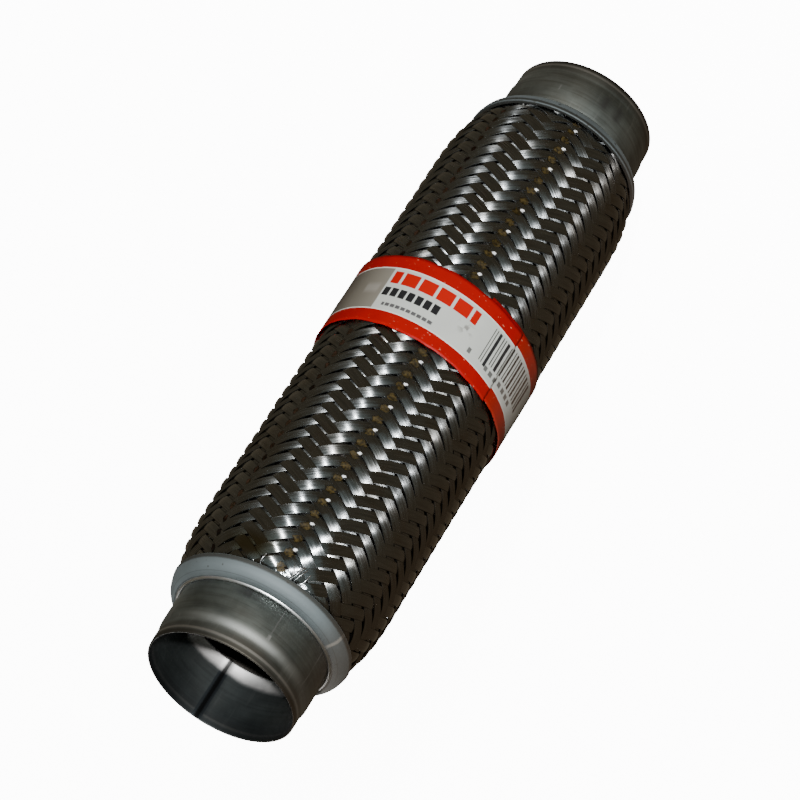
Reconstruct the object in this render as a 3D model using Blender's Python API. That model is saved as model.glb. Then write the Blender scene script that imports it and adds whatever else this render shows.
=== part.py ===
# Exhaust flex pipe standing on its lower neck, with +Z along the pipe axis and the origin
# at the middle of the bottom edge. Lengths are in metres and angles in radians.

import math

import bmesh
import bpy
from mathutils import Matrix, Vector

# The whole pipe.
TOTAL_LENGTH = 0.250
SEAT_GAP = 0.0003

# Neck pipes: welded tube, drawn down to a smaller ring at the cut end.
NECK_RADIUS = 0.02465
NECK_WALL = 0.0012
NECK_EXPOSED = 0.0199
NECK_INSERTED = 0.0019
RING_LENGTH = 0.0032
RING_DRAW = 0.00045
EDGE_ROUND = 0.00035
NECK_SIDES = 32

# Weld seam that stands a little proud of the bore of each neck.
SEAM_ANGLE = math.radians(86.0)
SEAM_HALF_ANGLE = 0.036
SEAM_HEIGHT = 0.0004

# End caps that grip the braid on the necks: a small weld bead at the hole, a cone and a skirt.
CAP_DEPTH = 0.0059
CAP_WALL = 0.0010
CAP_FLARE = 0.00035
CAP_CONE_SHARE = 0.65
CAP_CONE_DEPTH = 0.0020
CAP_ROUND_DEPTH = 0.0027
BEAD_WIDTH = 0.0011
BEAD_HEIGHT = 0.0003
CAP_SIDES = 32

# Braid: flat ribbons that spiral both ways, each over two and under two of the others.
RIBBONS_EACH_WAY = 24
RIBBON_PITCH = 0.00484
BRAID_WALL = 0.00135
WEAVE_RELIEF = 0.00075
WEAVE_TURN = math.radians(-5.85)
BRAID_END_GAP = 0.0028
LIP_RISE = 0.0001
SHOULDER_START = 0.0006
SHOULDER_RISE = 0.00433
SHOULDER_LENGTH = 0.022
SHOULDER_POWER = 0.6

# The smooth inside of the braid: its rings are counted in half pitches from each end.
LINING_SIDES = 24
LINING_RINGS = (0, 1, 3, 6, 12)

# Openings between crossed ribbons on the two shoulders.
GAP_DEPTH = 0.034
GAPS_PER_RING = 12
GAP_REACH = 0.0006

# Bellows: the gas-tight wall inside the braid. Shares are of one convolution.
BELLOWS_WALL = 0.0005
BELLOWS_SETBACK = 0.0032
BELLOWS_SIDES = 16
CONVOLUTIONS = 15
CREST_SHARE = 0.27
FLANK_SHARE = 0.06

# Paper label wrapped round the middle, with its outer end lapped over its inner end.
LABEL_OFFSET = -0.0083
LABEL_WIDTH = 0.0286
LABEL_WALL = 0.00025
LABEL_LAP_GAP = 0.00015
LABEL_LAP = 0.015
LABEL_START = math.radians(-101.7)
LABEL_SLOPE_X = -0.00223
LABEL_SLOPE_Y = -0.00194
LABEL_SIDES = 36

# Radii follow from the neck outwards: bellows cuff, braid end, cap skirt and then the full braid.
ROOT_RADIUS = (NECK_RADIUS + SEAT_GAP) / math.cos(math.pi / BELLOWS_SIDES)
CUFF_CLEAR = ROOT_RADIUS + BELLOWS_WALL + SEAT_GAP
BRAID_END_RADIUS = CUFF_CLEAR / math.cos(math.pi / LINING_SIDES) + BRAID_WALL
BRAID_LIP_RADIUS = BRAID_END_RADIUS + LIP_RISE
BRAID_RADIUS = BRAID_LIP_RADIUS + SHOULDER_RISE
CAP_SKIRT_RADIUS = (BRAID_LIP_RADIUS + SEAT_GAP) / math.cos(math.pi / CAP_SIDES) + CAP_WALL
CAP_LIP_RADIUS = CAP_SKIRT_RADIUS + CAP_FLARE

# Depths count from the cut end of the nearer neck.
LIP_DEPTH = NECK_EXPOSED + CAP_DEPTH
BRAID_START = NECK_EXPOSED + CAP_WALL + BRAID_END_GAP
BELLOWS_START = LIP_DEPTH + BELLOWS_SETBACK
BRAID_ROWS = 2 * round((TOTAL_LENGTH - 2.0 * BRAID_START) / RIBBON_PITCH)
ROW_HEIGHT = (TOTAL_LENGTH - 2.0 * BRAID_START) / BRAID_ROWS


def make_material(name, colour, roughness, metallic):
    material = bpy.data.materials.new(name)
    material.use_nodes = True
    shader = material.node_tree.nodes["Principled BSDF"]
    shader.inputs["Base Color"].default_value = (*colour, 1.0)
    shader.inputs["Roughness"].default_value = roughness
    shader.inputs["Metallic"].default_value = metallic
    return material


def add_body(name, bm, material, smooth=True):
    bmesh.ops.recalc_face_normals(bm, faces=bm.faces)
    for face in bm.faces:
        face.smooth = smooth
    mesh = bpy.data.meshes.new(name)
    bm.to_mesh(mesh)
    bm.free()
    mesh.materials.append(material)
    body = bpy.data.objects.new(name, mesh)
    bpy.context.scene.collection.objects.link(body)
    return body


def on_axis(radius, angle, height):
    return Vector((radius * math.cos(angle), radius * math.sin(angle), height))


def closed_section(bm, section, angle=0.0, upper=False):
    # A section lists radius and depth, where depth counts from the cut end of its neck.
    points = []
    for radius, depth in section:
        height = TOTAL_LENGTH - depth if upper else depth
        points.append(bm.verts.new(on_axis(radius, angle, height)))
    edges = [bm.edges.new(pair) for pair in zip(points, points[1:] + points[:1])]
    return points + edges


def turn_section(bm, loop, angle, steps, full=False):
    turned = bmesh.ops.spin(
        bm,
        geom=loop,
        cent=(0.0, 0.0, 0.0),
        axis=(0.0, 0.0, 1.0),
        angle=angle,
        steps=steps,
        use_merge=full,
    )
    return turned["geom_last"]


def neck_pipe(name, material, upper):
    length = NECK_EXPOSED + NECK_INSERTED
    bore = NECK_RADIUS - NECK_WALL
    ring = NECK_RADIUS - RING_DRAW
    ring_bore = bore - RING_DRAW
    section = [
        (ring - EDGE_ROUND, 0.0),
        (ring, EDGE_ROUND),
        (ring, RING_LENGTH - RING_DRAW),
        (ring + RING_DRAW * 0.75, RING_LENGTH),
        (NECK_RADIUS, RING_LENGTH + RING_DRAW),
        (NECK_RADIUS, length),
        (bore, length),
        (bore, RING_LENGTH + RING_DRAW),
        (ring_bore, RING_LENGTH - RING_DRAW),
        (ring_bore, EDGE_ROUND),
        (ring_bore + EDGE_ROUND, 0.0),
    ]
    bm = bmesh.new()
    loop = closed_section(bm, section, SEAM_ANGLE + SEAM_HALF_ANGLE, upper)
    loop = turn_section(bm, loop, 2.0 * (math.pi - SEAM_HALF_ANGLE), NECK_SIDES)
    crest = turn_section(bm, loop, SEAM_HALF_ANGLE, 1)
    turn_section(bm, crest, SEAM_HALF_ANGLE, 1)
    for item in crest:
        if isinstance(item, bmesh.types.BMVert) and item.co.xy.length < ring - EDGE_ROUND * 1.5:
            item.co.xy *= 1.0 - SEAM_HEIGHT / item.co.xy.length
    bmesh.ops.remove_doubles(bm, verts=bm.verts, dist=SEAT_GAP / 100.0)
    return add_body(name, bm, material)


def end_cap(name, material, upper):
    hole = (NECK_RADIUS + SEAT_GAP) / math.cos(math.pi / CAP_SIDES)
    bead = hole + BEAD_WIDTH
    cone = bead + CAP_CONE_SHARE * (CAP_SKIRT_RADIUS - bead)
    cone_depth = NECK_EXPOSED + CAP_CONE_DEPTH
    skirt_depth = cone_depth + CAP_ROUND_DEPTH
    section = [
        (hole, NECK_EXPOSED),
        (hole + BEAD_WIDTH * 0.4, NECK_EXPOSED - BEAD_HEIGHT),
        (bead, NECK_EXPOSED),
        (cone, cone_depth),
        (0.3 * cone + 0.7 * CAP_SKIRT_RADIUS, 0.5 * (cone_depth + skirt_depth)),
        (CAP_SKIRT_RADIUS, skirt_depth),
        (CAP_LIP_RADIUS, LIP_DEPTH - EDGE_ROUND),
        (CAP_LIP_RADIUS - CAP_WALL, LIP_DEPTH),
        (CAP_SKIRT_RADIUS - CAP_WALL, skirt_depth),
        (cone - CAP_WALL * 0.7, cone_depth + CAP_WALL * 0.75),
        (bead, NECK_EXPOSED + CAP_WALL),
        (hole, NECK_EXPOSED + CAP_WALL),
    ]
    bm = bmesh.new()
    loop = closed_section(bm, section, upper=upper)
    turn_section(bm, loop, 2.0 * math.pi, CAP_SIDES, full=True)
    return add_body(name, bm, material)


def braid_radius(height):
    # Seated under the cap first, then a shoulder that swells to the full size.
    depth = min(height, TOTAL_LENGTH - height)
    swell = (depth - LIP_DEPTH - SHOULDER_START) / SHOULDER_LENGTH
    if swell <= 0.0:
        seated = min(1.0, (depth - BRAID_START) / (LIP_DEPTH - BRAID_START))
        return BRAID_END_RADIUS + LIP_RISE * seated
    rise = math.sin(math.pi / 2.0 * min(1.0, swell) ** SHOULDER_POWER)
    return BRAID_LIP_RADIUS + SHOULDER_RISE * rise


def braid_point(column, row, sink):
    height = BRAID_START + row * ROW_HEIGHT
    angle = WEAVE_TURN + column * math.pi / RIBBONS_EACH_WAY
    return on_axis(braid_radius(height) - sink, angle, height)


def lining_heights():
    rows = list(LINING_RINGS) + [BRAID_ROWS - ring for ring in reversed(LINING_RINGS)]
    return [BRAID_START + row * ROW_HEIGHT for row in rows]


def lining_radius(height):
    rings = lining_heights()
    upper = next(index for index, ring in enumerate(rings) if ring >= height)
    low, high = rings[upper - 1], rings[upper]
    share = (height - low) / (high - low)
    radius = (1.0 - share) * braid_radius(low) + share * braid_radius(high)
    return radius - BRAID_WALL


def float_corners(column, row):
    # One float of a ribbon covers two crossings that lie slantwise, or half of one at an end.
    lean = 1 if column % 4 == 2 else -1
    if 0 < row + lean < BRAID_ROWS:
        steps = [(-1, 0), (0, -lean), (1, 0), (2, lean), (1, 2 * lean), (0, lean)]
    else:
        steps = [(-1, 0), (0, -lean), (1, 0), (0, lean)]
    return [(column + x, min(max(row + y, 0), BRAID_ROWS)) for x, y in steps]


def wire_braid(name, material):
    bm = bmesh.new()
    columns = 2 * RIBBONS_EACH_WAY
    made = {}
    for column in range(0, columns, 2):
        for row in range(0, BRAID_ROWS + 1, 2):
            corners = float_corners(column, row)
            ring = []
            for x, y in corners:
                key = (x % columns, y)
                if key not in made:
                    made[key] = bm.verts.new(braid_point(x, y, WEAVE_RELIEF))
                ring.append(made[key])
            middle_column = sum(x for x, _ in corners) / len(corners)
            middle_row = sum(y for _, y in corners) / len(corners)
            crown = bm.verts.new(braid_point(middle_column, middle_row, 0.0))
            for a, b in zip(ring, ring[1:] + ring[:1]):
                bm.faces.new((a, b, crown))

    step = 2 * math.pi / LINING_SIDES
    lining = []
    for height in lining_heights():
        radius = braid_radius(height) - BRAID_WALL
        angles = [WEAVE_TURN + step * side for side in range(LINING_SIDES)]
        lining.append([bm.verts.new(on_axis(radius, angle, height)) for angle in angles])
    for low, high in zip(lining, lining[1:]):
        for side in range(LINING_SIDES):
            after = (side + 1) % LINING_SIDES
            bm.faces.new((low[side], low[after], high[after], high[side]))
    for row, ring in ((0, lining[0]), (BRAID_ROWS, lining[-1])):
        for side in range(LINING_SIDES):
            after = (side + 1) % LINING_SIDES
            rim = [made[((2 * side + x) % columns, row)] for x in range(3)]
            bm.faces.new((rim[0], rim[1], ring[side]))
            bm.faces.new((rim[1], ring[after], ring[side]))
            bm.faces.new((rim[1], rim[2], ring[after]))
    return add_body(name, bm, material, smooth=False)


def cut_gaps(braid):
    # A diamond-shaped opening through the braid at every fourth corner of two rings of floats.
    bm = bmesh.new()
    ring_row = round((GAP_DEPTH - BRAID_START) / ROW_HEIGHT)
    spacing = 2 * RIBBONS_EACH_WAY // GAPS_PER_RING
    for row in (ring_row, BRAID_ROWS - ring_row):
        for gap in range(GAPS_PER_RING):
            column = spacing * gap + (row + 1) % 2
            centre = braid_point(column, row, BRAID_WALL)
            facing = centre.to_2d().to_3d().to_track_quat("Z", "Y").to_matrix().to_4x4()
            bmesh.ops.create_cone(
                bm,
                cap_ends=True,
                segments=4,
                radius1=GAP_REACH,
                radius2=GAP_REACH,
                depth=BRAID_WALL * 4.0,
                matrix=Matrix.Translation(centre) @ facing,
            )
    cutter = add_body("gap_cutter", bm, braid.data.materials[0], smooth=False)
    cutter.hide_render = True
    cutter.display_type = "WIRE"
    cut = braid.modifiers.new("gaps", "BOOLEAN")
    cut.operation = "DIFFERENCE"
    cut.solver = "EXACT"
    cut.object = cutter


def bellows(name, material):
    facets = math.cos(math.pi / LINING_SIDES)
    cuff = NECK_EXPOSED + CAP_WALL + SEAT_GAP
    pitch = (TOTAL_LENGTH - 2.0 * BELLOWS_START) / CONVOLUTIONS
    crest_half = pitch * CREST_SHARE
    foot_half = crest_half + pitch * FLANK_SHARE
    outside = [(ROOT_RADIUS + BELLOWS_WALL, cuff)]
    inside = [(ROOT_RADIUS, cuff)]
    for number in range(CONVOLUTIONS):
        centre = BELLOWS_START + pitch * (number + 0.5)
        low = lining_radius(centre - crest_half)
        high = lining_radius(centre + crest_half)
        crest = min(low, high) * facets - SEAT_GAP
        outside += [
            (ROOT_RADIUS + BELLOWS_WALL, centre - foot_half),
            (crest, centre - crest_half),
            (crest, centre + crest_half),
            (ROOT_RADIUS + BELLOWS_WALL, centre + foot_half),
        ]
        inside += [
            (ROOT_RADIUS, centre - foot_half + BELLOWS_WALL),
            (crest - BELLOWS_WALL, centre - crest_half + BELLOWS_WALL),
            (crest - BELLOWS_WALL, centre + crest_half - BELLOWS_WALL),
            (ROOT_RADIUS, centre + foot_half - BELLOWS_WALL),
        ]
    outside += [(ROOT_RADIUS + BELLOWS_WALL, TOTAL_LENGTH - cuff)]
    inside += [(ROOT_RADIUS, TOTAL_LENGTH - cuff)]
    bm = bmesh.new()
    loop = closed_section(bm, outside + inside[::-1])
    turn_section(bm, loop, 2.0 * math.pi, BELLOWS_SIDES, full=True)
    return add_body(name, bm, material)


def label_band(name, material):
    # A strip on a shallow spiral: one full turn moves it out by its own thickness and a gap.
    start_radius = (BRAID_RADIUS + SEAT_GAP) / math.cos(math.pi / LABEL_SIDES)
    sweep = 2.0 * math.pi + LABEL_LAP / start_radius
    stations = math.ceil(sweep / (2.0 * math.pi / LABEL_SIDES))
    bm = bmesh.new()
    rings = []
    for station in range(stations + 1):
        turned = sweep * station / stations
        angle = LABEL_START - turned
        radius = start_radius + (LABEL_WALL + LABEL_LAP_GAP) * turned / (2.0 * math.pi)
        lift = LABEL_SLOPE_X * math.cos(angle) + LABEL_SLOPE_Y * math.sin(angle)
        middle = TOTAL_LENGTH / 2.0 + LABEL_OFFSET + lift
        low = middle - LABEL_WIDTH / 2.0
        high = middle + LABEL_WIDTH / 2.0
        corners = (
            on_axis(radius, angle, low),
            on_axis(radius + LABEL_WALL, angle, low),
            on_axis(radius + LABEL_WALL, angle, high),
            on_axis(radius, angle, high),
        )
        rings.append([bm.verts.new(corner) for corner in corners])
    for ring, after in zip(rings, rings[1:]):
        for side in range(4):
            other = (side + 1) % 4
            bm.faces.new((ring[side], ring[other], after[other], after[side]))
    bm.faces.new(rings[0])
    bm.faces.new(rings[-1])
    return add_body(name, bm, material, smooth=False)


for old in list(bpy.data.objects):
    bpy.data.objects.remove(old, do_unlink=True)

neck_steel = make_material("neck_steel", (0.105, 0.107, 0.092), 0.38, 0.9)
cap_steel = make_material("cap_steel", (0.30, 0.35, 0.36), 0.45, 0.85)
braid_steel = make_material("braid_steel", (0.15, 0.145, 0.125), 0.35, 0.9)
bellows_steel = make_material("bellows_steel", (0.09, 0.085, 0.08), 0.4, 0.9)
label_paper = make_material("label_paper", (0.47, 0.13, 0.11), 0.6, 0.0)

for side, upper in (("lower", False), ("upper", True)):
    neck_pipe(side + "_neck_pipe", neck_steel, upper)
    end_cap(side + "_end_cap", cap_steel, upper)
bellows("bellows", bellows_steel)
cut_gaps(wire_braid("wire_braid", braid_steel))
label_band("label_band", label_paper)
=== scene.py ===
import math

import bmesh
import bpy
import numpy as np
from mathutils import Matrix, Vector, noise


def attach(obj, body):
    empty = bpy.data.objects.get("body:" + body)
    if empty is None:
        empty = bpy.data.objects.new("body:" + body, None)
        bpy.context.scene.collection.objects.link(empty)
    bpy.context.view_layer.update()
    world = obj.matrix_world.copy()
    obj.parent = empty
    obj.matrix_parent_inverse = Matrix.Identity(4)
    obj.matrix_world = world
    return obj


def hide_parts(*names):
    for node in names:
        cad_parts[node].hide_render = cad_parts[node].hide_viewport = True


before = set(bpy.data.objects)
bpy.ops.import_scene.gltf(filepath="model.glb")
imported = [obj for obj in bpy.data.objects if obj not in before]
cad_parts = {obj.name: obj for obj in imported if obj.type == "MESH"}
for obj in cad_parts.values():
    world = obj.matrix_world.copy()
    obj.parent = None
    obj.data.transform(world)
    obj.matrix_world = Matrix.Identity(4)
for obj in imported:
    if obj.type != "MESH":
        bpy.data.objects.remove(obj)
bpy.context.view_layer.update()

turnFull = 2.0 * math.pi


# Shader sums are written as plain expressions on this wrapper.
class Shade:
    def __init__(self, tree, socket=None):
        self.tree = tree
        self.socket = socket

    def node(self, kind, settings=None, values=None, out=0):
        # any node: its settings are made first, then its sockets get values or links
        made = self.tree.nodes.new("ShaderNode" + kind)
        for name, value in (settings or {}).items():
            setattr(made, name, value)
        for key, value in (values or {}).items():
            if isinstance(value, Shade):
                self.tree.links.new(value.socket, made.inputs[key])
            else:
                made.inputs[key].default_value = value
        return Shade(self.tree, made.outputs[out])

    def math(self, operation, *others):
        return self.node("Math", {"operation": operation}, dict(enumerate((self,) + others)))

    def __add__(self, other):
        return self.math("ADD", other)

    def __radd__(self, other):
        return self.math("ADD", other)

    def __sub__(self, other):
        return self.math("SUBTRACT", other)

    def __rsub__(self, other):
        return self.node("Math", {"operation": "SUBTRACT"}, {0: other, 1: self})

    def __mul__(self, other):
        return self.math("MULTIPLY", other)

    def __rmul__(self, other):
        return self.math("MULTIPLY", other)

    def __truediv__(self, other):
        return self.math("DIVIDE", other)


def mixColour(factor, low, high):
    # sockets 6 and 7 hold the two colours, and output 2 gives the mixed one
    low, high = (tone if isinstance(tone, Shade) else (*tone, 1.0) for tone in (low, high))
    settings = {"data_type": "RGBA", "clamp_factor": True}
    return factor.node("Mix", settings, {0: factor, 6: low, 7: high}, out=2)


def between(value, low, high):
    # 0 below low, 1 above high and a straight slope in between
    return value.node("MapRange", {"clamp": True}, {0: value, 1: low, 2: high, 3: 0.0, 4: 1.0})


def close(value, centre, inner, outer):
    # 1 within inner of the centre and 0 past outer
    return 1.0 - between((value - centre).math("ABSOLUTE"), inner, outer)


def grain(place, scale, detail=3.0, rough=0.55):
    sockets = {"Vector": place, "Scale": scale, "Detail": detail, "Roughness": rough}
    return place.node("TexNoise", {}, sockets)


def stretched(place, factors):
    return place.node("Mapping", {}, {"Vector": place, "Scale": factors})


def around(shade):
    # the place on the object, its height, its angle round the pipe and its distance from the axis
    place = shade.node("TexCoord", out=3)
    split = place.node("SeparateXYZ", {}, {0: place})
    x, y, z = (Shade(split.tree, split.socket.node.outputs[i]) for i in range(3))
    angle = y.math("ARCTAN2", x)
    radius = (x * x + y * y).math("SQRT")
    return place, z, angle, radius


def facing(angle, degrees, narrow, wide):
    # 1 on the side that faces this direction round the pipe, 0 on the far side of it
    return between((angle - math.radians(degrees)).math("COSINE"), wide, narrow)


def newMaterial(name, metallic, roughness):
    material = bpy.data.materials.new(name)
    material.use_nodes = True
    surface = material.node_tree.nodes["Principled BSDF"]
    surface.inputs["Metallic"].default_value = metallic
    surface.inputs["Roughness"].default_value = roughness
    return material, surface, Shade(material.node_tree)


def plug(shade, surface, name):
    shade.tree.links.new(shade.socket, surface.inputs[name])


def relief(height, surface, strength, distance):
    bump = height.node("Bump", {}, {"Strength": strength, "Distance": distance, "Height": height})
    plug(bump, surface, "Normal")


print("camera and light")
view = {
    "place": (0.0, -0.9603816, 0.7733360),
    "right": (-0.8441360, -0.2972266, -0.4461958),
    "up": (0.5361287, -0.4690341, -0.7018355),
    "back": (-0.0006769, -0.8316630, 0.5552803),
    "lens": 169.636,
    "sensorWidth": 36.0,
}
cameraData = bpy.data.cameras.new("camera")
cameraData.lens = view["lens"]
cameraData.sensor_width = view["sensorWidth"]
camera = bpy.data.objects.new("camera", cameraData)
bpy.context.scene.collection.objects.link(camera)
axes = Matrix((view["right"], view["up"], view["back"])).transposed()
camera.matrix_world = Matrix.Translation(view["place"]) @ axes.to_4x4()
bpy.context.scene.camera = camera

studio = {
    "aim": (0.0, 0.0, 0.125),
    "keyPlace": (0.109, -1.033, 0.743),
    "keySize": 0.05,
    "keyPower": 26.6,
    "softPlace": (0.12, -1.12, 0.86),
    "softSize": 1.6,
    "softPower": 2.6,
    "softColour": (0.70, 0.95, 1.0),
    "backPlace": (-0.2, 1.5, 0.35),
    "backSize": 0.8,
    "backPower": 9.0,
    "roomColour": (0.122, 0.101, 0.068),
    "stageColour": (0.86, 0.86, 0.86),
    "stageReach": 6.0,
    "floorGlow": 12.0,
    "wallGlow": 12.5,
}


def areaLight(name, place, size, power, colour=(1.0, 1.0, 1.0)):
    data = bpy.data.lights.new(name, "AREA")
    data.shape = "DISK"
    data.size = size
    data.energy = power
    data.color = colour
    light = bpy.data.objects.new(name, data)
    bpy.context.scene.collection.objects.link(light)
    aim = (Vector(studio["aim"]) - Vector(place)).to_track_quat("-Z", "Y")
    light.matrix_world = Matrix.Translation(place) @ aim.to_matrix().to_4x4()


areaLight("keyLight", studio["keyPlace"], studio["keySize"], studio["keyPower"])
areaLight(
    "softLight", studio["softPlace"], studio["softSize"], studio["softPower"], studio["softColour"]
)
areaLight("backLight", studio["backPlace"], studio["backSize"], studio["backPower"])

room = bpy.data.worlds.new("room")
room.use_nodes = True
room.node_tree.nodes["Background"].inputs["Color"].default_value = (*studio["roomColour"], 1.0)
bpy.context.scene.world = room


def stagePiece(name, bm, glow):
    # pale and glowing, and left out of the reflections in the steel
    material, surface = newMaterial(name, 0.0, 0.9)[:2]
    surface.inputs["Base Color"].default_value = (*studio["stageColour"], 1.0)
    surface.inputs["Emission Color"].default_value = (1.0, 1.0, 1.0, 1.0)
    surface.inputs["Emission Strength"].default_value = glow
    mesh = bpy.data.meshes.new(name)
    bm.to_mesh(mesh)
    bm.free()
    mesh.materials.append(material)
    piece = bpy.data.objects.new(name, mesh)
    bpy.context.scene.collection.objects.link(piece)
    piece.visible_glossy = False
    piece.visible_diffuse = False
    return piece


bm = bmesh.new()
bmesh.ops.create_grid(bm, x_segments=1, y_segments=1, size=studio["stageReach"])
stagePiece("floor", bm, studio["floorGlow"])

bm = bmesh.new()
bmesh.ops.create_uvsphere(bm, u_segments=48, v_segments=24, radius=studio["stageReach"])
bmesh.ops.reverse_faces(bm, faces=bm.faces)
stagePiece("backdrop", bm, studio["wallGlow"]).visible_shadow = False

print("necks and caps")
pipe = {
    "length": 0.250,
    "neckRadius": 0.02465,
    "neckWall": 0.0012,
    "neckOut": 0.0199,
    "neckIn": 0.0019,
    "capDepth": 0.0059,
    # painted shade: every piece is darker and browner on the side round towards this angle
    "shadedSideAngle": -175.0,  # degrees round the pipe, the side where every piece is browner
}
lipDepth = pipe["neckOut"] + pipe["capDepth"]
halfLength = pipe["length"] / 2.0


def finishPiece(name, bm, material, slotName, *standsFor):
    bmesh.ops.remove_doubles(bm, verts=bm.verts, dist=1e-7)
    bmesh.ops.recalc_face_normals(bm, faces=bm.faces)
    mesh = bpy.data.meshes.new(name)
    bm.to_mesh(mesh)
    bm.free()
    mesh.materials.append(material)
    piece = bpy.data.objects.new(name, mesh)
    bpy.context.scene.collection.objects.link(piece)
    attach(piece, "root")
    if standsFor:
        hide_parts(*standsFor)
    return piece


def turned(section, sides, upper=False):
    # a section lists radius and depth, and depth counts from the mouth of the neck
    bm = bmesh.new()
    ring = []
    for radius, depth in section:
        height = pipe["length"] - depth if upper else depth
        ring.append(bm.verts.new((radius, 0.0, height)))
    edges = [bm.edges.new(pair) for pair in zip(ring, ring[1:] + ring[:1])]
    bmesh.ops.spin(
        bm,
        geom=ring + edges,
        cent=(0, 0, 0),
        axis=(0, 0, 1),
        angle=turnFull,
        steps=sides,
        use_merge=True,
    )
    for face in bm.faces:
        face.smooth = True
    return bm


def arc(radius, depth, size, start, end, steps):
    # 0 degrees points out of the mouth and 90 away from the axis
    made = []
    for step in range(steps + 1):
        angle = math.radians(start + (end - start) * step / steps)
        made.append((radius + size * math.sin(angle), depth - size * math.cos(angle)))
    return made


neck = {
    "sides": 180,
    # a ring at the mouth is a little narrower than the rest of the neck
    "ringDraw": 0.00055,
    "boreDraw": 0.00003,
    "ringEnd": 0.0050,
    "ringBlend": 0.0036,
    "ringEase": 1.4,
    "ringCrown": 0.00006,
    "ringLead": 0.0003,
    "edge": 0.00042,
    # the bore draws in under the cap
    "drawnIn": 0.0014,
    "drawnFrom": 0.0172,
    "drawnLead": 0.0008,
    "drawnWall": 0.0007,
    "drawnSlope": 0.25,
    "seamAngle": math.radians(86.0),
    "seamHeight": 0.00042,
    "seamWidth": 0.0009,
    "seamWobble": 0.25,
    "seamRipple": 400.0,
    "darkSteel": (0.122, 0.138, 0.130),
    "lightSteel": (0.250, 0.280, 0.265),
    "latheLine": (0.060, 0.058, 0.050),
    "brightStreak": (0.36, 0.37, 0.36),
    "oilStain": (0.11, 0.085, 0.055),
    "sideShadeSteel": (0.13, 0.085, 0.055),
    # a painted highlight on the front of the upper neck, with its colour, height and angle
    "highlightSteel": (0.50, 0.515, 0.50),
    "highlightHeight": 0.2435,
    "highlightAngle": -90.0,
    "rimShade": (0.020, 0.018, 0.015),
    "ringShade": (0.075, 0.062, 0.048),
    "ringLine": (0.42, 0.40, 0.37),
    "ringLineDepth": 0.0021,
    "boreShadeDark": (0.021, 0.025, 0.028),
    "boreShadeLight": (0.042, 0.049, 0.054),
    "boreLitPatch": (0.50, 0.49, 0.48),
    "seamShade": (0.006, 0.006, 0.006),
    # scratches along the pipe, with the angle in degrees and the width in radians
    "marks": (
        {"angle": -99.4, "from": 0.2292, "to": 0.2418, "width": 0.012, "shade": 0.34},
        {"angle": -99.4, "from": 0.2402, "to": 0.2420, "width": 0.026, "shade": 0.85},
        {"angle": -142.0, "from": 0.2305, "to": 0.2425, "width": 0.014, "shade": 0.60},
        {"angle": -62.8, "from": 0.0112, "to": 0.0137, "width": 0.014, "shade": 0.40},
        {"angle": -99.0, "from": 0.0070, "to": 0.0130, "width": 0.090, "shade": 0.10},
        {"angle": -112.0, "from": 0.0075, "to": 0.0135, "width": 0.100, "shade": 0.10},
        {"angle": -72.0, "from": 0.2295, "to": 0.2335, "width": 0.250, "shade": 0.09},
    ),
}


def neckSection():
    full, edge, length = pipe["neckRadius"], neck["edge"], pipe["neckOut"] + pipe["neckIn"]
    bore = full - pipe["neckWall"]
    draw, boreDraw = neck["ringDraw"], neck["boreDraw"]
    ringEnd, lead, crown = neck["ringEnd"], neck["ringLead"], neck["ringCrown"]
    step = [
        (math.sin(math.pi / 2.0 * share) ** neck["ringEase"], ringEnd + neck["ringBlend"] * share)
        for share in np.linspace(0.0, 1.0, 9)
    ]
    outside = arc(full - draw - edge, edge, edge, 0, 84, 5)
    outside += [(full - draw + crown, ringEnd * 0.5), (full - draw + crown / 3.0, ringEnd - lead)]
    outside += [(full - draw * (1.0 - rise), depth) for rise, depth in step]
    outside += [(full, length - edge), (full - edge, length)]
    start, slope = neck["drawnFrom"], neck["drawnSlope"]
    inside = [(bore - neck["drawnIn"] + neck["drawnWall"], length)]
    for share in np.linspace(1.0, 0.0, 11):
        curve = slope * share + (1.0 - slope) * share * share
        inside.append((bore - neck["drawnIn"] * curve, start + (length - start) * share))
    inside += [(bore, start - neck["drawnLead"]), (bore, ringEnd + neck["ringBlend"] + lead)]
    inside += [(bore - boreDraw * (1.0 - rise), depth) for rise, depth in step[::-2]]
    inside += [(bore - boreDraw, ringEnd * 0.5)]
    soft = edge * 0.7
    inside += arc(bore - boreDraw + soft, soft, soft, 270, 360, 4)
    return outside + inside


def makeNeck(name, node, material, upper):
    # a turned tube, with the weld seam raised along its bore
    bm = turned(neckSection(), neck["sides"], upper)
    innerLimit = pipe["neckRadius"] - pipe["neckWall"] * 0.9
    for vert in bm.verts:
        radius = vert.co.xy.length
        if radius > innerLimit:
            continue
        away = math.remainder(math.atan2(vert.co.y, vert.co.x) - neck["seamAngle"], turnFull)
        across = radius * away / neck["seamWidth"]
        ripple = noise.noise(Vector((0.0, 0.0, vert.co.z * neck["seamRipple"])))
        wobble = 1.0 + neck["seamWobble"] * ripple
        vert.co.xy *= 1.0 - neck["seamHeight"] * wobble * math.exp(-across * across) / radius
    return finishPiece(name, bm, material, "neck_steel", node)


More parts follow.
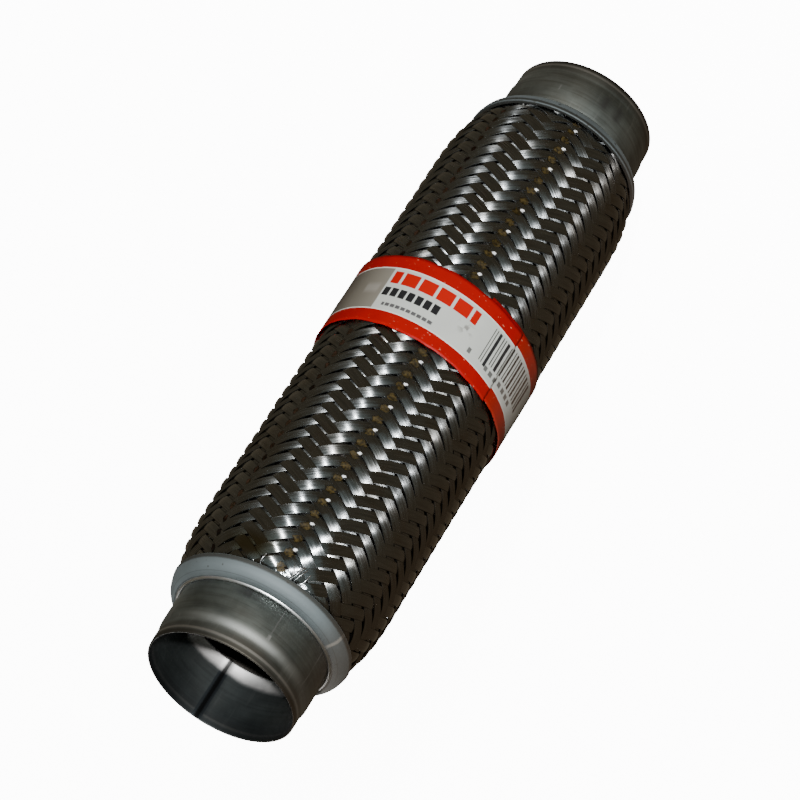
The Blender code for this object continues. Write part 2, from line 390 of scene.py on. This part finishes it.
cap = {
    "sides": 144,
    "wall": 0.0010,
    "clearance": 0.00003,
    # the weld bead, placed out from the neck and in from the face of the cap
    "beadSize": 0.00050,
    "beadMiddle": (0.00046, 0.00022),
    "beadFoot": (0.00112, 0.00030),
    "beadStart": 0.0006,
    "shoulder": 0.0261,
    "shoulderDrop": 0.00008,
    "cone": (0.0282, 0.0219),
    "skirt": (0.02935, 0.0242),
    "bendStart": 0.85,
    "bendReach": 2.6,
    "lip": 0.02968,
    "lipEdge": 0.00042,
    "lipRadius": 0.0280,
    "lipLead": (0.00012, 0.0009),
    "lipTuck": (0.0003, 0.0002, 0.0006),
    "skirtTuck": 0.0004,
    "darkSteel": (0.172, 0.200, 0.208),
    "lightSteel": (0.262, 0.304, 0.318),
    "sideShadeSteel": (0.17, 0.12, 0.085),
    "specks": (0.06, 0.05, 0.04),
    "beadHighlight": (0.75, 0.77, 0.78),
    "beadShade": (0.04, 0.04, 0.04),
    "coneLine": (0.08, 0.08, 0.08),
    "tickAngle": math.radians(-138.0),
    "tickHeight": 0.227,
    "tickColour": (0.60, 0.58, 0.54),
    "skirtShade": (0.05, 0.045, 0.035),
}


def capSection():
    hole = pipe["neckRadius"] + cap["clearance"]
    top, wall = pipe["neckOut"], cap["wall"]
    beadOut, beadIn = cap["beadMiddle"]
    footOut, footIn = cap["beadFoot"]
    outside = [(hole, top + cap["beadStart"])]
    outside += arc(hole + beadOut, top + beadIn, cap["beadSize"], -75, 84, 9)
    outside += [(hole + footOut, top + footIn), (cap["shoulder"], top + cap["shoulderDrop"])]
    # the cone bends into the skirt along a curve with one corner point
    cone, skirt, bend = Vector(cap["cone"]), Vector(cap["skirt"]), cap["bendStart"]
    start = Vector((cap["shoulder"], top)) * (1.0 - bend) + cone * bend
    corner = cone + (cone - start) * cap["bendReach"]
    outside += [tuple(start)]
    for share in np.linspace(0.0, 1.0, 8):
        point = cone * (1 - share) ** 2 + corner * 2 * share * (1 - share) + skirt * share**2
        outside.append(tuple(point))
    lip, edge, inner = cap["lip"], cap["lipEdge"], cap["lipRadius"]
    leadOut, leadIn = cap["lipLead"]
    outside += [(lip - leadOut, lipDepth - leadIn)]
    outside += arc(lip - edge, lipDepth - edge, edge, 95, 180, 6)
    # the lip is folded in, and the wall runs back under the skirt and the cone
    tuck, tuckEnd, tuckIn = cap["lipTuck"]
    inside = [(inner + tuck, lipDepth), (inner + tuckEnd, lipDepth - tuckIn)]
    inside += [(cap["skirt"][0] - wall, cap["skirt"][1] + cap["skirtTuck"])]
    inside += [(cap["cone"][0] - wall * 0.7, cap["cone"][1] + wall * 0.75)]
    inside += [(hole + wall, top + wall), (hole, top + wall)]
    return outside + inside


def makeCap(name, node, material, upper):
    return finishPiece(name, turned(capSection(), cap["sides"], upper), material, "cap_steel", node)


def depthAt(height):
    # how far in a height lies from the nearer mouth
    return halfLength - (height - halfLength).math("ABSOLUTE")


# painted shade: 1 on the side where every piece is painted darker and browner
def paintedShadeSide(angle, wide):
    return facing(angle, pipe["shadedSideAngle"], 0.97, wide)


def neckMaterial():
    material, surface, shade = newMaterial("drawnNeckSteel", 1.0, 0.62)
    place, height, angle, radius = around(shade)
    cloud = grain(place, 60.0, 4.0)
    streak = grain(stretched(place, (1.0, 1.0, 0.08)), 700.0, 3.0)
    steel = mixColour(between(cloud, 0.32, 0.68), neck["darkSteel"], neck["lightSteel"])
    lathe = grain(stretched(place, (0.06, 0.06, 1.0)), 1100.0, 2.0)
    steel = mixColour(between(lathe, 0.42, 0.70) * 0.35, steel, neck["latheLine"])
    steel = mixColour(between(streak, 0.60, 0.74) * 0.3, steel, neck["brightStreak"])
    oil = between(grain(place, 26.0, 5.0), 0.50, 0.70)
    steel = mixColour(oil * 0.45, steel, neck["oilStain"])
    inside = 1.0 - between(radius, 0.02335, 0.0237)
    depth = depthAt(height)
    # a painted highlight: a bright band round the upper neck, only on the front
    highlight = close(height, neck["highlightHeight"], 0.0004, 0.0026)
    highlight = highlight * facing(angle, neck["highlightAngle"], 0.95, 0.35)
    steel = mixColour(highlight * 0.5, steel, neck["highlightSteel"])
    for mark in neck["marks"]:
        middle, half = (mark["from"] + mark["to"]) / 2.0, (mark["to"] - mark["from"]) / 2.0
        line = close(angle, math.radians(mark["angle"]), 0.0, mark["width"])
        line = line * close(height, middle, half * 0.6, half * 1.2) * between(streak, 0.30, 0.45)
        steel = mixColour(line * 0.8, steel, (mark["shade"],) * 3)
    # painted shade along the rim of the mouth, and lighter painted shade over the ring behind it
    rim = 1.0 - between(depth, 0.0009, 0.0015)
    steel = mixColour(rim * 0.7, steel, neck["rimShade"])
    ring = 1.0 - between(depth, 0.0036, 0.0046)
    steel = mixColour(ring * 0.4, steel, neck["ringShade"])
    line = close(depth, neck["ringLineDepth"], 0.0002, 0.0006)
    steel = mixColour(line * 0.5, steel, neck["ringLine"])
    # painted shade, dark brown, on the far side round the pipe
    steel = mixColour(paintedShadeSide(angle, 0.55) * 0.5, steel, neck["sideShadeSteel"])
    # painted shade darkens the bore, painted light makes a bright patch where it draws in, and a
    # dark seam runs across both
    steel = mixColour(inside, steel, mixColour(cloud, neck["boreShadeDark"], neck["boreShadeLight"]))
    wavy = depth + (grain(place, 150.0, 2.0) - 0.5) * 0.0022
    bright = between(wavy, 0.0170, 0.0186) * inside * (between(cloud, 0.38, 0.60) * 0.5 + 0.5)
    steel = mixColour(bright, steel, neck["boreLitPatch"])
    seam = close(angle, neck["seamAngle"], 0.018, 0.040) * inside
    steel = mixColour(seam * 0.92, steel, neck["seamShade"])
    plug(steel, surface, "Base Color")
    plug(0.46 + cloud * 0.12 + oil * 0.10, surface, "Roughness")
    relief(streak * 0.4 + cloud, surface, 0.25, 0.00006)
    return material


def capMaterial():
    material, surface, shade = newMaterial("satinCapSteel", 1.0, 0.62)
    place, height, angle, radius = around(shade)
    cloud = grain(place, 90.0, 4.0)
    fine = grain(place, 1500.0, 2.0)
    steel = mixColour(cloud, cap["darkSteel"], cap["lightSteel"])
    specks = between(grain(place, 420.0, 1.0), 0.70, 0.76)
    steel = mixColour(specks * 0.7, steel, cap["specks"])
    # rings by their radius: the bead, with a smooth polish and painted bright as a highlight,
    # painted shade at its foot and a fine line on the cone
    polishAndHighlight = 1.0 - between(radius, 0.02565, 0.0258)
    steel = mixColour(polishAndHighlight * 0.8, steel, cap["beadHighlight"])
    steel = mixColour(close(radius, 0.02595, 0.0001, 0.0003) * 0.6, steel, cap["beadShade"])
    steel = mixColour(close(radius, 0.0273, 0.00003, 0.00012) * 0.35, steel, cap["coneLine"])
    tick = close(angle, cap["tickAngle"], 0.012, 0.030)
    tick = tick * close(height, cap["tickHeight"], 0.0026, 0.0032)
    steel = mixColour(tick * 0.7, steel, cap["tickColour"])
    # painted shade darkens the skirt, all but a thin line round its lip
    depth = depthAt(height)
    lipLine = between(depth, 0.02540, 0.02550) * between(radius, 0.02925, 0.02940)
    under = between(depth, 0.0240, 0.0246) * (1.0 - lipLine * 0.6)
    steel = mixColour(under * 0.8, steel, cap["skirtShade"])
    # painted shade, dark brown, on the far side round the pipe
    steel = mixColour(paintedShadeSide(angle, 0.55) * 0.5, steel, cap["sideShadeSteel"])
    plug(steel, surface, "Base Color")
    plug(0.72 + cloud * 0.1 - polishAndHighlight * 0.38, surface, "Roughness")
    relief(fine * 0.5 + cloud, surface, 0.25, 0.00005)
    return material


neckSteel, capSteel = neckMaterial(), capMaterial()
makeNeck("upperNeck", "upper_neck_pipe", neckSteel, True)
makeNeck("lowerNeck", "lower_neck_pipe", neckSteel, False)
makeCap("upperCap", "upper_end_cap", capSteel, True)
makeCap("lowerCap", "lower_end_cap", capSteel, False)

print("bellows")
sleeve = {
    "hidden": 0.0006,  # a little past the lip of the cap the braid begins to swell
    "hiddenRadius": 0.0279,
    "startRadius": 0.02792,
    "swell": 0.00433,
    "swellLength": 0.022,
    "swellEase": 0.6,
}
folds = {
    "sides": 96,
    "root": 0.02545,
    "wall": 0.0005,
    "count": 15,
    "setback": 0.0006,  # from the lip of the cap to the first fold
    "cuffIn": 0.0013,  # from the face of the cap to the end of the cuff
    "underBraid": 0.0014,
    "crestShare": 0.27,
    "steepness": 2.6,
    "points": 16,
    "darkSteel": (0.010, 0.009, 0.008),
    "lightSteel": (0.026, 0.023, 0.020),
}


def sleeveRadius(height):
    # outer radius of the braid, which swells from under the cap to the full size
    depth = min(height, pipe["length"] - height)
    share = (depth - lipDepth - sleeve["hidden"]) / sleeve["swellLength"]
    if share <= 0.0:
        return sleeve["hiddenRadius"]
    ease = min(1.0, share) ** sleeve["swellEase"]
    return sleeve["startRadius"] + sleeve["swell"] * math.sin(math.pi / 2.0 * ease)


def bellowsSection():
    # round folds between two plain cuffs, each as high as the braid leaves room for
    root, wall, steep = folds["root"], folds["wall"], folds["steepness"]
    start = lipDepth + folds["setback"]
    fold = (pipe["length"] - 2.0 * start) / folds["count"]
    cuff = pipe["neckOut"] + folds["cuffIn"]
    outside, inside = [(root + wall, cuff)], [(root, cuff)]
    for number in range(folds["count"]):
        centre = start + fold * (number + 0.5)
        crest = fold * folds["crestShare"]
        high = min(sleeveRadius(centre - crest), sleeveRadius(centre + crest)) - folds["underBraid"]
        for share in np.linspace(0.0, 1.0, folds["points"] + 1)[:-1]:
            lift = 0.5 - 0.5 * math.tanh(steep * math.cos(turnFull * share)) / math.tanh(steep)
            radius = root + wall + (high - root - wall) * lift
            depth = start + fold * (number + share)
            outside.append((radius, depth))
            inside.append((radius - wall * 0.8, depth + math.sin(turnFull * share) * wall * 0.8))
    outside.append((root + wall, pipe["length"] - cuff))
    inside.append((root, pipe["length"] - cuff))
    return outside + inside[::-1]


def bellowsMaterial():
    material, surface, shade = newMaterial("foldedBellowsSteel", 0.9, 0.5)
    cloud = grain(around(shade)[0], 70.0, 4.0)
    # painted shade: the folds are near black, standing in for the shade inside the braid
    plug(mixColour(cloud, folds["darkSteel"], folds["lightSteel"]), surface, "Base Color")
    plug(0.45 + cloud * 0.2, surface, "Roughness")
    return material


bm = turned(bellowsSection(), folds["sides"])
finishPiece("bellowsTube", bm, bellowsMaterial(), "bellows_steel", "bellows")

print("braid ribbons")
braid = {
    "ribbonsEachWay": 24,
    # rows count crossings along the pipe, and columns count half ribbons round it
    "rowHeight": 0.0024325,
    "firstHeight": 0.02182,
    "firstRow": 0.95,
    "lastRow": 83.85,
    "turn": math.radians(-5.85),
    "twist": math.radians(36.0),
    "wires": 9,
    "thick": 0.00066,
    "groove": 0.00009,
    "crown": 0.00024,
    "lift": 0.00043,
    "halfWidth": 0.412,
    "samples": 4,
    "middleRadius": 0.0322,
    # each drift has a seed, a length in rows and a size
    "widthDrift": (0.0, 9.0, 0.10),
    "sideDrift": (31.0, 11.0, 0.05),
    "liftDrift": (57.0, 2.5, 0.00008),
    "jitter": 0.000008,
    "jitterSteps": (97, 89),  # wires and stations in a table that then repeats
    "darkWire": (0.19, 0.206, 0.214),
    "lightWire": (0.31, 0.332, 0.343),
    "dirt": (0.22, 0.18, 0.12),
    "sideShadeWire": (0.20, 0.13, 0.09),
    "edgeShade": (0.03, 0.028, 0.025),
    "stain": (0.15, 0.13, 0.07),
    "stainAngle": math.radians(-60.0),
    "stainHeight": 0.2188,
    "glint": (0.80, 0.81, 0.82),
    "glintColumn": -10.90,
    "glintRow": -0.33,
    "glintWidth": 0.21,
    "darkReflection": (0.008, 0.006, 0.0022),
    "reflectionRow": 0.25,
    # lines of painted warm reflections, each with a column, a width, a strength and a colour
    "warmReflectionLines": (
        {"column": -10.65, "width": 0.42, "strength": 1.0, "colour": (0.062, 0.044, 0.014)},
        {"column": -4.5, "width": 0.20, "strength": 0.7, "colour": (0.028, 0.014, 0.009)},
    ),
}
columnTurn = math.pi / braid["ribbonsEachWay"]
sleeveRadii = np.vectorize(sleeveRadius)
wireJitter = np.random.default_rng(7).uniform(
    -braid["jitter"], braid["jitter"], braid["jitterSteps"]
)


def ribbonTemplate():
    # a closed flat tube, with a valley between the wires on top and one flat face below
    stations = round(braid["lastRow"] - braid["firstRow"]) * braid["samples"]
    topPoints = 2 * braid["wires"] + 1
    loop = topPoints + 2
    bm = bmesh.new()
    bmesh.ops.create_grid(bm, x_segments=stations, y_segments=loop, size=0.5)
    for vert in bm.verts:
        # the grid is rolled into a tube, one unit long for each station
        turn = turnFull * round((vert.co.y + 0.5) * loop) / loop
        vert.co = (round((vert.co.x + 0.5) * stations), math.cos(turn), math.sin(turn))
    bmesh.ops.remove_doubles(bm, verts=bm.verts, dist=1e-4)
    bmesh.ops.holes_fill(bm, edges=bm.edges, sides=0)
    bmesh.ops.recalc_face_normals(bm, faces=bm.faces)
    for face in bm.faces:
        face.smooth = True

    def sideOf(vert):
        return round(math.atan2(vert.co.z, vert.co.y) / turnFull * loop) % loop

    # sharp lines run along the valleys between the wires
    for edge in bm.edges:
        sides = {sideOf(vert) for vert in edge.verts}
        edge.smooth = len(sides) > 1 or (sides <= set(range(1, topPoints - 1, 2)))
    steps = np.array([round(vert.co.x) for vert in bm.verts], float)
    sides = np.array([sideOf(vert) for vert in bm.verts])
    mesh = bpy.data.meshes.new("ribbonTemplate")
    bm.to_mesh(mesh)
    bm.free()
    for name in ("along", "across", "tone"):
        mesh.attributes.new(name, "FLOAT", "POINT")
    return mesh, steps, sides, topPoints


def placeRibbon(template, family, index):
    # family is 1 for ribbons that climb with the angle and -1 for the ones that fall
    mesh, steps, sides, topPoints = template
    seed = index + (100.0 if family < 0 else 0.0)
    crossings = steps / braid["samples"]

    def drift(shift, length, size):
        knots = np.arange(crossings.max() + 2.0)
        spots = [Vector((knot / length, (seed + shift) * 7.31, 0.5)) for knot in knots]
        return np.interp(crossings, knots, [noise.noise(spot) for spot in spots]) * size

    onTop = sides < topPoints
    across = np.where(onTop, 2.0 * sides / (topPoints - 1) - 1.0, 1.0)
    across = np.where(sides == topPoints + 1, -1.0, across)
    lateral = across * braid["halfWidth"] * (1.0 + drift(*braid["widthDrift"]))
    lateral = lateral + drift(*braid["sideDrift"])
    share = steps / steps.max()
    row = braid["firstRow"] + (braid["lastRow"] - braid["firstRow"]) * share
    # crossings lie on a grid of columns and rows, and each ribbon runs along one diagonal of it
    middle = 2.0 * index + family * row
    column = middle + lateral
    row = row - family * lateral
    # two over and two under: the wave repeats every four columns
    wave = family * np.sin(turnFull * (middle - 1.5) / 4.0)
    height = braid["firstHeight"] + braid["rowHeight"] * row
    angle = braid["turn"] + columnTurn * column + braid["twist"] * (height - halfLength)
    valley = np.where(sides % 2 == 0, braid["groove"], 0.0)
    skin = np.where(onTop, -valley - braid["crown"] * across * across, -braid["thick"])
    radius = sleeveRadii(height) - braid["lift"] * (1.0 - wave) + skin
    radius += drift(*braid["liftDrift"])
    wires, spots = braid["jitterSteps"]
    radius += wireJitter[(sides // 2 + 11 * int(seed)) % wires, steps.astype(int) % spots] * onTop
    place = np.stack([radius * np.cos(angle), radius * np.sin(angle), height], 1)
    mesh.vertices.foreach_set("co", place.astype(np.float32).ravel())
    tone = np.full(len(steps), seed)
    for name, values in (("along", crossings), ("across", across), ("tone", tone)):
        mesh.attributes[name].data.foreach_set("value", values.astype(np.float32))


def ribbonMaterial(family):
    name = "braidWireRising" if family > 0 else "braidWireFalling"
    material, surface, shade = newMaterial(name, 1.0, 0.5)
    # the shine of drawn wire is wide across the wires and narrow along them
    climb = math.atan2(braid["rowHeight"], columnTurn * braid["middleRadius"])
    surface.inputs["Anisotropic"].default_value = 1.0
    surface.inputs["Anisotropic Rotation"].default_value = (0.25 + family * climb / turnFull) % 1.0
    place, height, angle = around(shade)[:3]
    along, across, tone = (
        shade.node("Attribute", {"attribute_name": name}, out=2)
        for name in ("along", "across", "tone")
    )
    wire = (across * 0.5 + 0.5) * float(braid["wires"])
    spot = shade.node(
        "CombineXYZ", {}, {0: wire.math("FLOOR") * 3.7, 1: along * 0.5, 2: tone * 5.3}
    )
    each = grain(spot, 1.0, 2.0)
    cloud = grain(place, 85.0, 4.0)
    steel = mixColour(between(each, 0.3, 0.7), braid["darkWire"], braid["lightWire"])
    dirt = between(cloud, 0.50, 0.66)
    steel = mixColour(dirt * 0.3, steel, braid["dirt"])
    # painted shade, dark brown, on the far side round the pipe
    steel = mixColour(paintedShadeSide(angle, 0.45) * 0.6, steel, braid["sideShadeWire"])
    stain = close(angle, braid["stainAngle"], 0.10, 0.34)
    stain = stain * close(height, braid["stainHeight"], 0.0016, 0.0050)
    steel = mixColour(stain * 0.85, steel, braid["stain"])
    # painted shade along the edges of each ribbon, which are also rougher
    edge = between(across.math("ABSOLUTE"), 0.93, 0.985)
    steel = mixColour(edge * 0.8, steel, braid["edgeShade"])
    # painted warm reflections sit where the floats tuck under, once in every two rows, matte and
    # not metallic
    column = (angle - braid["turn"] - (height - halfLength) * braid["twist"]) / columnTurn
    row = (height - braid["firstHeight"]) / braid["rowHeight"]
    beat = (row * 0.5 - braid["reflectionRow"] / 2.0 + 0.5).math("FRACT") - 0.5
    ragged = (grain(place, 620.0, 3.0, 0.7) - 0.5) * 1.6
    patches = between(grain(place, 70.0, 2.0), 0.36, 0.56)
    crumbs = between(grain(place, 1300.0, 2.0), 0.36, 0.64)
    warmSpots = 0.0
    for spots in braid["warmReflectionLines"]:
        sideways = (column - spots["column"]) / spots["width"]
        away = (sideways * sideways + beat * beat * 12.0).math("SQRT") + ragged
        spotty = (1.0 - between(away, 0.75, 1.05)) * (patches * 0.5 + 0.5) * spots["strength"]
        spotColour = mixColour(crumbs, braid["darkReflection"], spots["colour"])
        steel = mixColour(between(spotty, 0.0, 0.4), steel, spotColour)
        warmSpots = spotty + warmSpots
    # a painted glint: a bright spot beside every second painted warm spot
    corner = ((row - braid["glintRow"]) * 0.25 + 0.5).math("FRACT") * 4.0 - 2.0
    offside = (column - braid["glintColumn"]) / braid["glintWidth"]
    glint = 1.0 - between((offside * offside + corner * corner * 28.0).math("SQRT"), 0.6, 1.0)
    steel = mixColour(glint, steel, braid["glint"])
    matt = between(warmSpots, 0.35, 0.6).math("MAXIMUM", glint)
    rough = 0.175 + between(each, 0.25, 0.75) * 0.11 + dirt * 0.06 + warmSpots * 0.7 + edge * 0.3
    plug(steel, surface, "Base Color")
    plug(1.0 - matt, surface, "Metallic")
    plug(rough, surface, "Roughness")
    return material


# every ribbon is the same tube, laid along its own path and added to one of four pieces
template = ribbonTemplate()
halfSet = braid["ribbonsEachWay"] // 2
for family, way in ((1, "Rising"), (-1, "Falling")):
    wireSteel = ribbonMaterial(family)
    for first, letter in ((0, "A"), (halfSet, "B")):
        bm = bmesh.new()
        for index in range(first, first + halfSet):
            placeRibbon(template, family, index)
            bm.from_mesh(template[0])
        finishPiece("braid" + way + letter, bm, wireSteel, "braid_steel", "wire_braid")
bpy.data.meshes.remove(template[0])

print("loose wires")
loose = {
    "thick": 0.00018,
    "sides": 8,
    "steps": 14,
    "sink": 0.0001,
    "darkWire": (0.45, 0.47, 0.48),
    "lightWire": (0.80, 0.82, 0.83),
    # each wire runs from one angle and height to another, and springs up in between
    "runs": (
        (-93.5, 0.2188, -89.5, 0.2236, 0.0004),
        (-94.5, 0.2186, -90.8, 0.2237, 0.0005),
        (-96.0, 0.2190, -92.8, 0.2236, 0.0004),
        (-99.0, 0.2196, -97.6, 0.2238, 0.0004),
        (-88.4, 0.2196, -91.2, 0.2237, 0.0005),
        (-71.6, 0.2204, -70.0, 0.2236, 0.0004),
    ),
}


def looseWires():
    bm = bmesh.new()
    for first, low, last, high, spring in loose["runs"]:
        made = bmesh.ops.create_grid(
            bm, x_segments=loose["steps"], y_segments=loose["sides"], size=0.5
        )["verts"]
        for vert in made:
            share = vert.co.x + 0.5
            turn = turnFull * (vert.co.y + 0.5)
            height = low + (high - low) * share
            angle = math.radians(first + (last - first) * share)
            rise = spring * math.sin(math.pi * share) ** 2
            radius = sleeveRadius(height) - loose["sink"] + rise
            radius += loose["thick"] * math.cos(turn)
            angle += loose["thick"] * math.sin(turn) / radius
            vert.co = (radius * math.cos(angle), radius * math.sin(angle), height)
    bmesh.ops.remove_doubles(bm, verts=bm.verts, dist=1e-6)
    bmesh.ops.holes_fill(bm, edges=bm.edges, sides=0)
    for face in bm.faces:
        face.smooth = len(face.verts) == 4
    return bm


def looseMaterial():
    material, surface, shade = newMaterial("brightWire", 1.0, 0.3)
    tone = grain(around(shade)[0], 900.0, 2.0)
    plug(mixColour(tone, loose["darkWire"], loose["lightWire"]), surface, "Base Color")
    plug(0.24 + tone * 0.2, surface, "Roughness")
    return material


finishPiece("looseWires", looseWires(), looseMaterial(), "braid_steel", "wire_braid")

print("paper label")
label = {
    "centre": 0.1167,
    "width": 0.0286,
    "radius": 0.0326,
    "thick": 0.00018,
    "standOff": 0.00030,
    "outerEnd": math.radians(-128.0),
    "lap": 0.46,
    "spiral": 0.00020,
    "lean": 0.0009,
    "slopeX": -0.00223,
    "slopeY": -0.00194,
    "creases": (0.00014, 0.00007),
    "raggedEdge": 0.0005,
    "liftedEdge": 0.00014,
    "darkPaper": (0.44, 0.455, 0.43),
    "lightPaper": (0.53, 0.55, 0.515),
    "warmPaper": (0.20, 0.185, 0.155),
    "shadedPaper": (0.10, 0.088, 0.070),
    "paleLine": (0.62, 0.62, 0.58),
    "darkRed": (0.27, 0.0012, 0.0010),
    "lightRed": (0.34, 0.0018, 0.0013),
    "scuffed": (0.60, 0.26, 0.16),
    "smudged": (0.13, 0.12, 0.11),
    "sideShadePaper": (0.12, 0.06, 0.035),
    # plain fields of print: left and right in degrees round the pipe, low and high in mm
    "paleField": {"box": (-42.0, -32.0, -1.6, 1.8), "colour": (0.42, 0.40, 0.37)},
    "redBlocks": {"box": (-101.0, -47.0, -7.4, -2.4), "colour": (0.40, 0.006, 0.004)},
    "darkBlocks": {"box": (-82.0, -46.0, -0.6, 2.9), "colour": (0.015, 0.015, 0.016)},
    "dashes": {"box": (-81.5, -50.0, 5.7, 7.0), "colour": (0.09, 0.09, 0.09)},
    "ticks": {"box": (-148.0, -117.5, 5.0, 6.8), "colour": (0.03, 0.03, 0.03)},
    "smallBlock": {"box": (-106.4, -104.2, 4.8, 6.8), "colour": (0.03, 0.03, 0.03)},
    "barColour": (0.02, 0.02, 0.021),
    "barTop": -7.5,
    # each bar has a middle and a width in degrees, and a foot in mm
    "bars": (
        (-112.2, 0.5, 5.7),
        (-113.9, 0.5, 5.8),
        (-116.4, 1.9, 6.1),
        (-119.2, 0.6, 4.0),
        (-121.0, 0.6, 4.0),
        (-123.7, 2.0, 4.0),
        (-126.6, 0.6, 3.9),
        (-128.6, 1.3, 3.9),
        (-131.2, 0.7, 3.9),
        (-133.4, 1.3, 3.9),
        (-136.0, 0.7, 3.9),
        (-138.2, 1.6, 3.9),
        (-141.2, 0.9, 3.9),
        (-143.8, 1.6, 3.9),
        (-147.0, 0.9, 3.9),
        (-149.8, 1.8, 3.9),
        (-153.4, 1.0, 3.9),
        (-156.4, 2.2, 3.9),
    ),
    "stepsRound": 300,
    "stepsAcross": 24,
}


def makeLabel(material):
    bm = bmesh.new()
    bmesh.ops.create_grid(
        bm, x_segments=label["stepsRound"], y_segments=label["stepsAcross"], size=0.5
    )
    runLayer = bm.verts.layers.float.new("run")
    downLayer = bm.verts.layers.float.new("down")
    for vert in bm.verts:
        run = (vert.co.x + 0.5) * (turnFull + label["lap"])
        down = vert.co.y * label["width"]
        vert[runLayer] = math.degrees(run + label["outerEnd"])
        vert[downLayer] = down * 1000.0
        angle = label["outerEnd"] + run
        edge = abs(vert.co.y * 2.0) ** 6
        spot = Vector((math.cos(angle) * 2.2, math.sin(angle) * 2.2, down * 60.0 + run * 0.2))
        height = label["centre"] + down + edge * noise.noise(spot * 3.0) * label["raggedEdge"]
        height += label["slopeX"] * math.cos(angle) + label["slopeY"] * math.sin(angle)
        height -= label["lean"] * run / turnFull
        broad, fine = label["creases"]
        crease = noise.noise(spot) * broad + noise.noise(spot * 3.1) * fine
        radius = label["radius"] + label["spiral"] * (1.0 - run / turnFull) + label["standOff"]
        radius += crease + edge * abs(noise.noise(spot * 4.3)) * label["liftedEdge"]
        vert.co = (radius * math.cos(angle), radius * math.sin(angle), height)
    for face in bm.faces:
        face.smooth = True
    piece = finishPiece("paperLabel", bm, material, "label_paper", "label_band")
    wall = piece.modifiers.new("wall", "SOLIDIFY")
    wall.thickness = label["thick"]
    wall.offset = -1.0
    return piece


def labelMaterial():
    material, surface, shade = newMaterial("printedPaper", 0.0, 0.42)
    surface.inputs["Specular IOR Level"].default_value = 0.12
    place, angle = around(shade)[::2]
    run, down = (
        shade.node("Attribute", {"attribute_name": name}, out=2) for name in ("run", "down")
    )
    # the lapped end carries on the print of the layer below it
    run = run - between(run, 190.0, 190.01) * 360.0

    def field(left, right, low, high, soft=0.12):
        sideways = between(run, left - soft, left + soft) - between(run, right - soft, right + soft)
        upright = between(down, low - soft, low + soft) - between(down, high - soft, high + soft)
        return sideways * upright

    def pattern(perDegree, gapEnd, blockStart):
        # gaps and blocks in turn, so many for each degree round the pipe
        return between((run * perDegree).math("FRACT"), gapEnd, blockStart)

    def printed(below, name, mask):
        return mixColour(mask, below, label[name]["colour"])

    colour = mixColour(grain(place, 130.0), label["darkPaper"], label["lightPaper"])
    back = mixColour(between(run, -46.0, -10.0), label["warmPaper"], label["shadedPaper"])
    colour = mixColour(between(run, -45.5, -44.9), colour, back)
    colour = printed(colour, "paleField", field(*label["paleField"]["box"], 0.9) * 0.25)
    blocks = field(*label["redBlocks"]["box"]) * pattern(5.0 / 54.0, 0.14, 0.18)
    colour = printed(colour, "redBlocks", blocks)
    blocks = field(*label["darkBlocks"]["box"]) * pattern(7.0 / 36.0, 0.22, 0.28)
    colour = printed(colour, "darkBlocks", blocks)
    dashes = field(*label["dashes"]["box"]) * pattern(11.0 / 36.0, 0.10, 0.30)
    colour = printed(colour, "dashes", dashes)
    for middle, width, foot in label["bars"]:
        bar = field(middle - width / 2.0, middle + width / 2.0, label["barTop"], foot)
        colour = mixColour(bar, colour, label["barColour"])
    ticks = field(*label["ticks"]["box"]) * pattern(2.0 / 9.0, 0.30, 0.42)
    colour = printed(colour, "ticks", ticks * 0.8)
    colour = printed(colour, "smallBlock", field(*label["smallBlock"]["box"]) * 0.8)
    # a pale line and then a red band along both edges
    fromMiddle = (down - 0.1).math("ABSOLUTE")
    colour = mixColour(between(fromMiddle, 8.45, 8.6), colour, label["paleLine"])
    red = between(fromMiddle, 8.95, 9.1)
    redInk = mixColour(grain(place, 160.0), label["darkRed"], label["lightRed"])
    colour = mixColour(red, colour, redInk)
    smudge = between(grain(place, 480.0, 3.0), 0.50, 0.58) * close(run, -97.5, 1.0, 6.0)
    smudge = smudge * close(down, 0.6, 0.6, 3.0)
    colour = mixColour(smudge * 0.7, colour, label["smudged"])
    scuff = between(grain(stretched(place, (1.0, 0.5, 1.6)), 650.0, 2.0), 0.68, 0.73) * red
    colour = mixColour(scuff * 0.6, colour, label["scuffed"])
    # painted shade, dark brown, on the far side round the pipe
    colour = mixColour(paintedShadeSide(angle, 0.60) * 0.5, colour, label["sideShadePaper"])
    plug(colour, surface, "Base Color")
    plug(0.45 + scuff * 0.3, surface, "Roughness")
    return material


makeLabel(labelMaterial())
